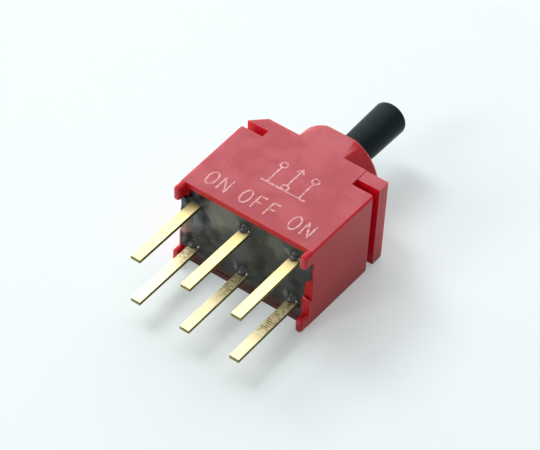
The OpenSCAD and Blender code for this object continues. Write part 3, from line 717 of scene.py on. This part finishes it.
# %% [markdown]
# ## Lever
# The lever is one turned shape: shank, pivot ball and stem. A ring of 96 points is extruded from
# level to level along its axis and scaled to the radius there, which is how a turned part is drawn.

# %% Lever
PIVOT_Y = frame["joints"][0]["pos_m"][1] / MM
lever_low, lever_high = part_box("lever")
foot_y, tip_y = lever_low.y / MM, lever_high.y / MM
ball_r, root_r, tip_r, corner_r, stem_r, chamfer = 2.15, 1.36, 1.51, 0.3, 0.9, 0.1


def lever_rings(ball_steps=24, corner_steps=6):
    """Level and radius of each ring, from the stem's foot to the tip."""
    rings = [(foot_y, stem_r - chamfer), (foot_y + chamfer, stem_r)]
    start, end = math.acos(stem_r / ball_r), math.acos(root_r / ball_r)
    for i in range(ball_steps + 1):
        angle = -start + (start + end) * i / ball_steps
        rings.append((PIVOT_Y + ball_r * math.sin(angle), ball_r * math.cos(angle)))
    for i in range(corner_steps + 1):
        angle = math.pi / 2 * i / corner_steps
        rings.append((tip_y - corner_r + corner_r * math.sin(angle),
                      tip_r - corner_r + corner_r * math.cos(angle)))
    return rings


def turned(name, rings, sides=96):
    """A closed solid turned about the lever's axis."""
    bpy.ops.object.select_all(action="DESELECT")
    level, radius = rings[0]
    bpy.ops.mesh.primitive_circle_add(vertices=sides, radius=radius * MM, fill_type="NGON",
                                      location=(0, level * MM, 0), rotation=(math.pi / 2, 0, 0))
    piece = bpy.context.object
    piece.name = name
    bpy.ops.object.transform_apply(location=True, rotation=True, scale=True)
    bpy.ops.object.mode_set(mode="EDIT")
    bpy.ops.mesh.select_all(action="SELECT")
    for next_level, next_radius in rings[1:]:
        bpy.ops.mesh.extrude_region_move(
            TRANSFORM_OT_translate={"value": (0, (next_level - level) * MM, 0)})
        grow = next_radius / radius
        bpy.ops.transform.resize(value=(grow, 1, grow), center_override=(0, next_level * MM, 0))
        level, radius = next_level, next_radius
    bpy.ops.mesh.select_all(action="SELECT")
    bpy.ops.mesh.normals_make_consistent(inside=False)
    bpy.ops.object.mode_set(mode="OBJECT")
    bpy.ops.object.shade_smooth_by_angle(angle=math.radians(40))
    return piece


lever = turned("turned_lever", lever_rings())
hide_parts("lever")
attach(lever, "lever")
print("lever faces:", len(lever.data.polygons), "tip at mm:", round(tip_y, 2))

# %% [markdown]
# The lever is black glass-filled polyester with a satin skin: a broad soft highlight, a cold black.
# The base inside is the same plastic, only duller, so one function makes both.

# %% Material: black polyester
def black_polyester(name, tones, rough, gloss):
    """A cold black between two tones, and between two values of roughness."""
    material, tree, place = blank(name)
    # the moulding's grain is drawn 0.1 mm wide so that it shows, and the shade drifts over 1.5 mm
    grain = add(tree, "TexNoise", {"Vector": place, "Scale": per(0.1), "Detail": 3.0})
    cloud = add(tree, "TexNoise", {"Vector": place, "Scale": per(1.5), "Detail": 2.0})
    tint = add(tree, "Mix", {0: cloud, 6: tones[0], 7: tones[1]}, data_type="RGBA")
    satin = add(tree, "MapRange", {"Value": cloud, "To Min": rough[0], "To Max": rough[1]})
    bump = add(tree, "Bump", {"Height": grain, "Strength": 0.25, "Distance": 0.008 * MM})
    shader = add(tree, "BsdfPrincipled", {"Base Color": tint, "Roughness": satin, "Normal": bump,
                                          "IOR": 1.5, "Specular IOR Level": gloss})
    add(tree, "OutputMaterial", {"Surface": shader})
    return material


# years of fingers have dulled the lever's skin, so it mirrors less than fresh plastic
lever_black = black_polyester("polyester_satin_black", ("#101C1F", "#172427"), (0.32, 0.4), 0.06)
base_black = black_polyester("polyester_filled_black_base", ("#16181A", "#1F2224"), (0.48, 0.62), 0.5)
lever.data.materials.append(lever_black)
print("made", lever_black.name, "and", base_black.name)

# %% [markdown]
# ## Inside the housing
# Nobody sees these pieces in a whole switch, yet a part that is opened or cut shows them.
# Their CAD shapes are right, so each one only gets the finish of its real material.

# %% Materials inside
def fine_finish(name, tones, grain_size, rough, depth, **shading):
    """A finish with a fine grain: two tones, a roughness range and the grain's depth in mm."""
    material, tree, place = blank(name)
    grain = add(tree, "TexNoise", {"Vector": place, "Scale": per(grain_size), "Detail": 3.0})
    tint = add(tree, "Mix", {0: grain, 6: tones[0], 7: tones[1]}, data_type="RGBA")
    gloss = add(tree, "MapRange", {"Value": grain, "To Min": rough[0], "To Max": rough[1]})
    bump = add(tree, "Bump", {"Height": grain, "Strength": 0.3, "Distance": depth * MM})
    shader = add(tree, "BsdfPrincipled", {"Base Color": tint, "Roughness": gloss, "Normal": bump,
                                          **shading})
    add(tree, "OutputMaterial", {"Surface": shader})
    return material


# drawn stainless wire and pin stock: drawing leaves a fine, bright, slightly uneven skin
steel = fine_finish("stainless_steel_drawn", ("#9A9DA1", "#B9BCC0"), 0.08, (0.22, 0.34), 0.003,
                    Metallic=1.0)
# nitrile rubber: matt black with a fine bloom
rubber = fine_finish("nitrile_rubber_moulded", ("#121212", "#1F1F1E"), 0.1, (0.6, 0.75), 0.01, IOR=1.52)
# natural nylon: warm off-white and waxy
nylon = fine_finish("nylon_natural_moulded", ("#DDD5C2", "#EAE4D4"), 0.4, (0.4, 0.55), 0.006, IOR=1.53)
finishes = {
    "pivot_pin": steel, "plunger_spring_upper": steel, "plunger_spring_lower": steel,
    "shaft_seal": rubber, "lever_retainer": nylon, "driver": nylon, "terminal_base": base_black,
    "plunger_upper": gold, "plunger_lower": gold, "rocker_upper": gold, "rocker_lower": gold,
}
for node, finish in finishes.items():
    inside = frame["nodes"][node]
    inside.data.materials.clear()
    inside.data.materials.append(finish)
print("inner pieces finished:", len(finishes))

# %% [markdown]
# ## Floor, light and view
# The switch lies on a pale table that runs out of view. The table is nearly white to the camera,
# and it keeps the object's soft shadow. More light would whiten it too, but it would also bleach the
# red. So the table and the room are lifted only for the rays that look straight at them.

# %% Floor
only(housing)
bpy.ops.object.select_all(action="DESELECT")
# a hair below the switch, so that no two faces lie in one plane
bpy.ops.mesh.primitive_plane_add(size=0.8, location=(0, 0.006, cad_box[0][2] - 0.01 * MM))
floor = bpy.context.object
floor.name = "table"


def seen_directly(tree):
    """1 for a ray from the eye or from a mirror, and 0 for the light that falls on things."""
    rays = add(tree, "LightPath").outputs
    mirrored = add(tree, "Math", {0: rays["Is Glossy Ray"], 1: rays["Is Transmission Ray"]},
                   operation="MAXIMUM")
    return add(tree, "Math", {0: rays["Is Camera Ray"], 1: mirrored}, operation="MAXIMUM")


paper, tree, _ = blank("matt_pale_table")
matt = add(tree, "BsdfDiffuse", {"Color": "#F6FEFF"})
glow = add(tree, "Emission", {"Color": "#F6FFFF", "Strength": 1.0})
lifted = add(tree, "Math", {0: seen_directly(tree), 1: 0.3}, operation="MULTIPLY")
surface = add(tree, "MixShader", {0: lifted, 1: matt, 2: glow})
add(tree, "OutputMaterial", {"Surface": surface})
floor.data.materials.append(paper)
print("table at mm:", round(floor.location.z / MM, 2))

# %% [markdown]
# A wide soft lamp stands behind and to the left, so that the upper face mirrors it and turns pink,
# while both near ends stay in the dimmer light of the room. Two smaller lamps give the shadow an edge
# and the wet drops a glint. Each lamp is given by how bright its face is, so it may be moved or
# resized and still looks as bright in a reflection.

# %% Light
world = bpy.data.worlds.new("pale_room")
bpy.context.scene.world = world
world.use_nodes = True
tree = world.node_tree
tree.nodes.clear()
room_light = add(tree, "Background", {"Color": "#F0F6FA", "Strength": 0.16})
white = add(tree, "Background", {"Color": "#F8FEFF", "Strength": 1.0})
either = add(tree, "MixShader", {0: seen_directly(tree), 1: room_light, 2: white})
add(tree, "OutputWorld", {"Surface": either})


def soft_lamp(name, direction, distance, size, radiance, aim):
    """A square lamp, seen in a direction and at a distance from the point that it lights, in metres."""
    data = bpy.data.lights.new(name, "AREA")
    data.size = size
    data.energy = radiance * math.pi * size ** 2
    lamp = bpy.data.objects.new(name, data)
    bpy.context.scene.collection.objects.link(lamp)
    toward = Vector(direction).normalized()
    lamp.location = Vector(aim) + toward * distance
    lamp.rotation_euler = toward.to_track_quat("Z", "Y").to_euler()
    return lamp


MIDDLE, TERMINAL_END = (0, 0.006, 0), (0, 0.003, 0)
lamps = [
    # the wide window behind and to the left, which the upper face mirrors
    soft_lamp("window", (-0.40, 0.59, 0.70), distance=0.5, size=0.7, radiance=1.6, aim=MIDDLE),
    # a smaller lamp at the left, which gives the shadow on the right
    soft_lamp("left_lamp", (-0.70, 0.12, 0.70), distance=0.6, size=0.22, radiance=9.6, aim=MIDDLE),
    # a low lamp in front, which fills the terminal end and leaves a glint on every drop of resin
    soft_lamp("front_lamp", (-0.35, -0.80, 0.50), distance=0.5, size=0.14, radiance=10.6,
              aim=TERMINAL_END),
]
print("lamp energies in watts:", [round(lamp.data.energy, 4) for lamp in lamps])

# %% [markdown]
# The camera looks down on the terminal end from the front right. It uses a long lens from close by,
# so that the switch fills the view. Its three axes are worked out from two angles and a small roll.

# %% Camera
# the point looked at and how far off it the camera stands, in millimetres
TARGET, DISTANCE = Vector((-0.503, 5.0, -0.353)), 186.446
azimuth, elevation, roll = (math.radians(angle) for angle in (34.08, 44.86, 3.32))
back = Vector((math.sin(azimuth) * math.cos(elevation), -math.cos(azimuth) * math.cos(elevation),
               math.sin(elevation)))
right = (-back).cross(Vector((0, 0, 1))).normalized()
up = right.cross(-back)
right, up = (math.cos(roll) * right + math.sin(roll) * up, math.cos(roll) * up - math.sin(roll) * right)
view = bpy.data.cameras.new("view")
view.lens = 160.13
view.sensor_width = 36
view.clip_start = 0.01
view.clip_end = 5
camera = bpy.data.objects.new("view", view)
bpy.context.scene.collection.objects.link(camera)
camera.rotation_mode = "QUATERNION"
camera.rotation_quaternion = Matrix((right, up, back)).transposed().to_quaternion()
camera.location = TARGET * MM + back * DISTANCE * MM
bpy.context.scene.camera = camera
bpy.context.scene.view_settings.view_transform = "Standard"
print("camera in mm:", [round(v / MM, 1) for v in camera.location])
